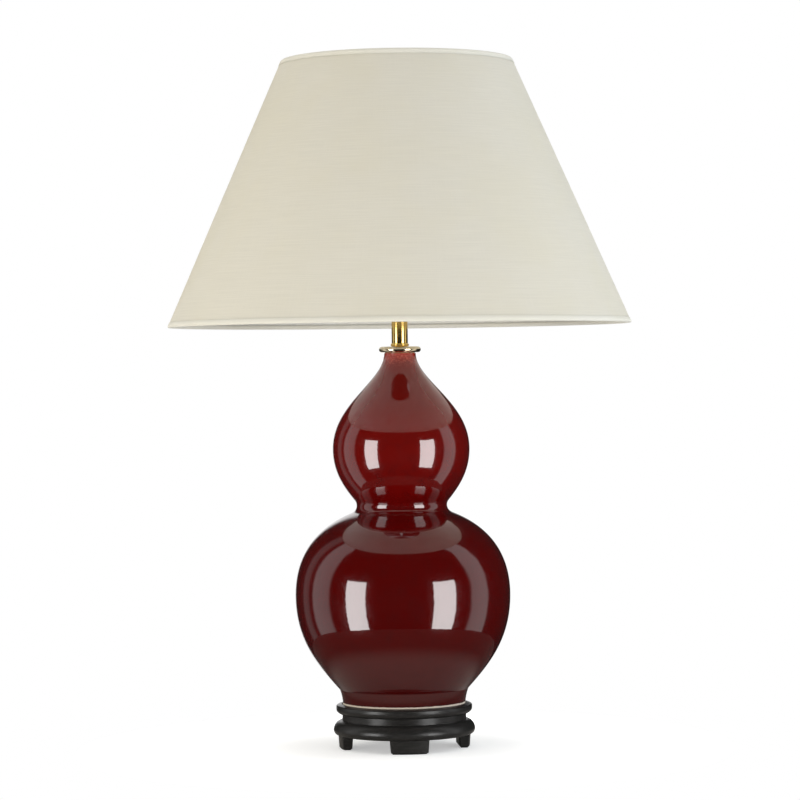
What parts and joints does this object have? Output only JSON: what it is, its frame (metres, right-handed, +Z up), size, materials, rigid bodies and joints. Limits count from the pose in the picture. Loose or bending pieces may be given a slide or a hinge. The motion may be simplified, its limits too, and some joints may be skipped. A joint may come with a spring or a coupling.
{
  "type": "double gourd table lamp",
  "caption": "Table lamp with a hollow double gourd ceramic body on a footed round stand, brass neck, turn-key lampholder, harp and tapered fabric shade.",
  "frame": {"origin": "on the floor under the lamp's axis, the centre of the bottom of its bounding box", "axes": "+Z up the lamp's axis from the stand to the shade; the switch key faces -Y and the cord's inlet faces +Y"},
  "size_m": [0.5091, 0.5092, 0.756],
  "materials": {
    "lacquered_wood": "black satin lacquer, slightly worn on the edges",
    "felt": "black felt",
    "cord_bushing": "moulded black",
    "zinc_steel": "zinc plated",
    "brass_rod": "plain, threaded",
    "cork": "pressed cork",
    "glaze": "deep oxblood gloss glaze, lighter red where it thins at the neck",
    "pale_brass": "polished, paler than the tube",
    "polished_brass": "polished",
    "holder_brass": "brushed and lacquered",
    "liner_card": "pressed card sleeve",
    "phenolic": "moulded black",
    "contact_brass": "stamped",
    "bulb_glass": "white coated",
    "bulb_cap_metal": "rolled thread",
    "bulb_insulator": "black vitreous",
    "solder": "tinned",
    "shade_fabric": "ivory plain weave, smooth",
    "shade_hem": "rolled hem of the same cloth",
    "shade_lining": "white backing film",
    "white_wire": "white coated wire"
  },
  "bodies": {
    "lamp_base": {"stand_body": "lacquered_wood", "stand_foot_1": "lacquered_wood", "stand_foot_2": "lacquered_wood", "stand_foot_3": "lacquered_wood", "stand_foot_4": "lacquered_wood", "foot_pad_1": "felt", "foot_pad_2": "felt", "foot_pad_3": "felt", "foot_pad_4": "felt", "underside_felt": "felt", "cord_bushing": "cord_bushing", "base_washer": "zinc_steel", "lock_washer": "zinc_steel", "base_nut": "zinc_steel", "threaded_rod": "brass_rod", "seat_gasket": "cork", "gourd_body": "glaze", "neck_washer": "cork", "vase_cap": "pale_brass", "neck_collar": "polished_brass", "neck_tube": "polished_brass", "neck_bush": "polished_brass", "harp_saddle": "polished_brass", "socket_cap": "holder_brass", "socket_set_screw": "zinc_steel", "socket_shell": "holder_brass", "socket_liner": "liner_card", "switch_body": "phenolic", "terminal_screws": "zinc_steel", "screw_shell": "contact_brass", "centre_contact": "contact_brass"},
    "switch_key": {"switch_spindle": "contact_brass", "switch_knob": "phenolic"},
    "bulb": {"bulb_contact": "solder", "bulb_insulator": "bulb_insulator", "bulb_cap": "bulb_cap_metal", "bulb_glass": "bulb_glass"},
    "harp": {"harp_bow": "polished_brass"},
    "ferrule_left": {"harp_ferrule_left": "polished_brass"},
    "ferrule_right": {"harp_ferrule_right": "polished_brass"},
    "swivel_stud": {"harp_stud": "polished_brass"},
    "shade": {"shade_fabric": "shade_fabric", "shade_lining": "shade_lining", "shade_bottom_hem": "shade_hem", "shade_top_hem": "shade_hem", "shade_bottom_ring": "white_wire", "shade_spider": "white_wire"},
    "finial": {"finial": "polished_brass"}
  },
  "joints": [
    {"name": "switch_turn", "type": "hinge", "parent": "lamp_base", "child": "switch_key", "pos_m": [0, -0.02, 0.537], "axis": [0, -1, 0], "continuous": true},
    {"name": "bulb_lift", "type": "slide", "parent": "lamp_base", "child": "bulb", "axis": [0, 0, 1], "range_m": [0, 0.03]},
    {"name": "harp_lift", "type": "slide", "parent": "lamp_base", "child": "harp", "axis": [0, 0, 1], "range_m": [0, 0.02]},
    {"name": "ferrule_left_slide", "type": "slide", "parent": "harp", "child": "ferrule_left", "axis": [0, 0, 1], "range_m": [0, 0.0125]},
    {"name": "ferrule_right_slide", "type": "slide", "parent": "harp", "child": "ferrule_right", "axis": [0, 0, 1], "range_m": [0, 0.0125]},
    {"name": "shade_swivel", "type": "hinge", "parent": "harp", "child": "swivel_stud", "pos_m": [0, 0, 0.7308], "axis": [0, 0, 1], "continuous": true},
    {"name": "shade_lift", "type": "slide", "parent": "swivel_stud", "child": "shade", "axis": [0, 0, 1], "range_m": [0, 0.29]},
    {"name": "finial_turn", "type": "hinge", "parent": "shade", "child": "finial", "pos_m": [0, 0, 0.7374], "axis": [0, 0, 1], "continuous": true}
  ]
}
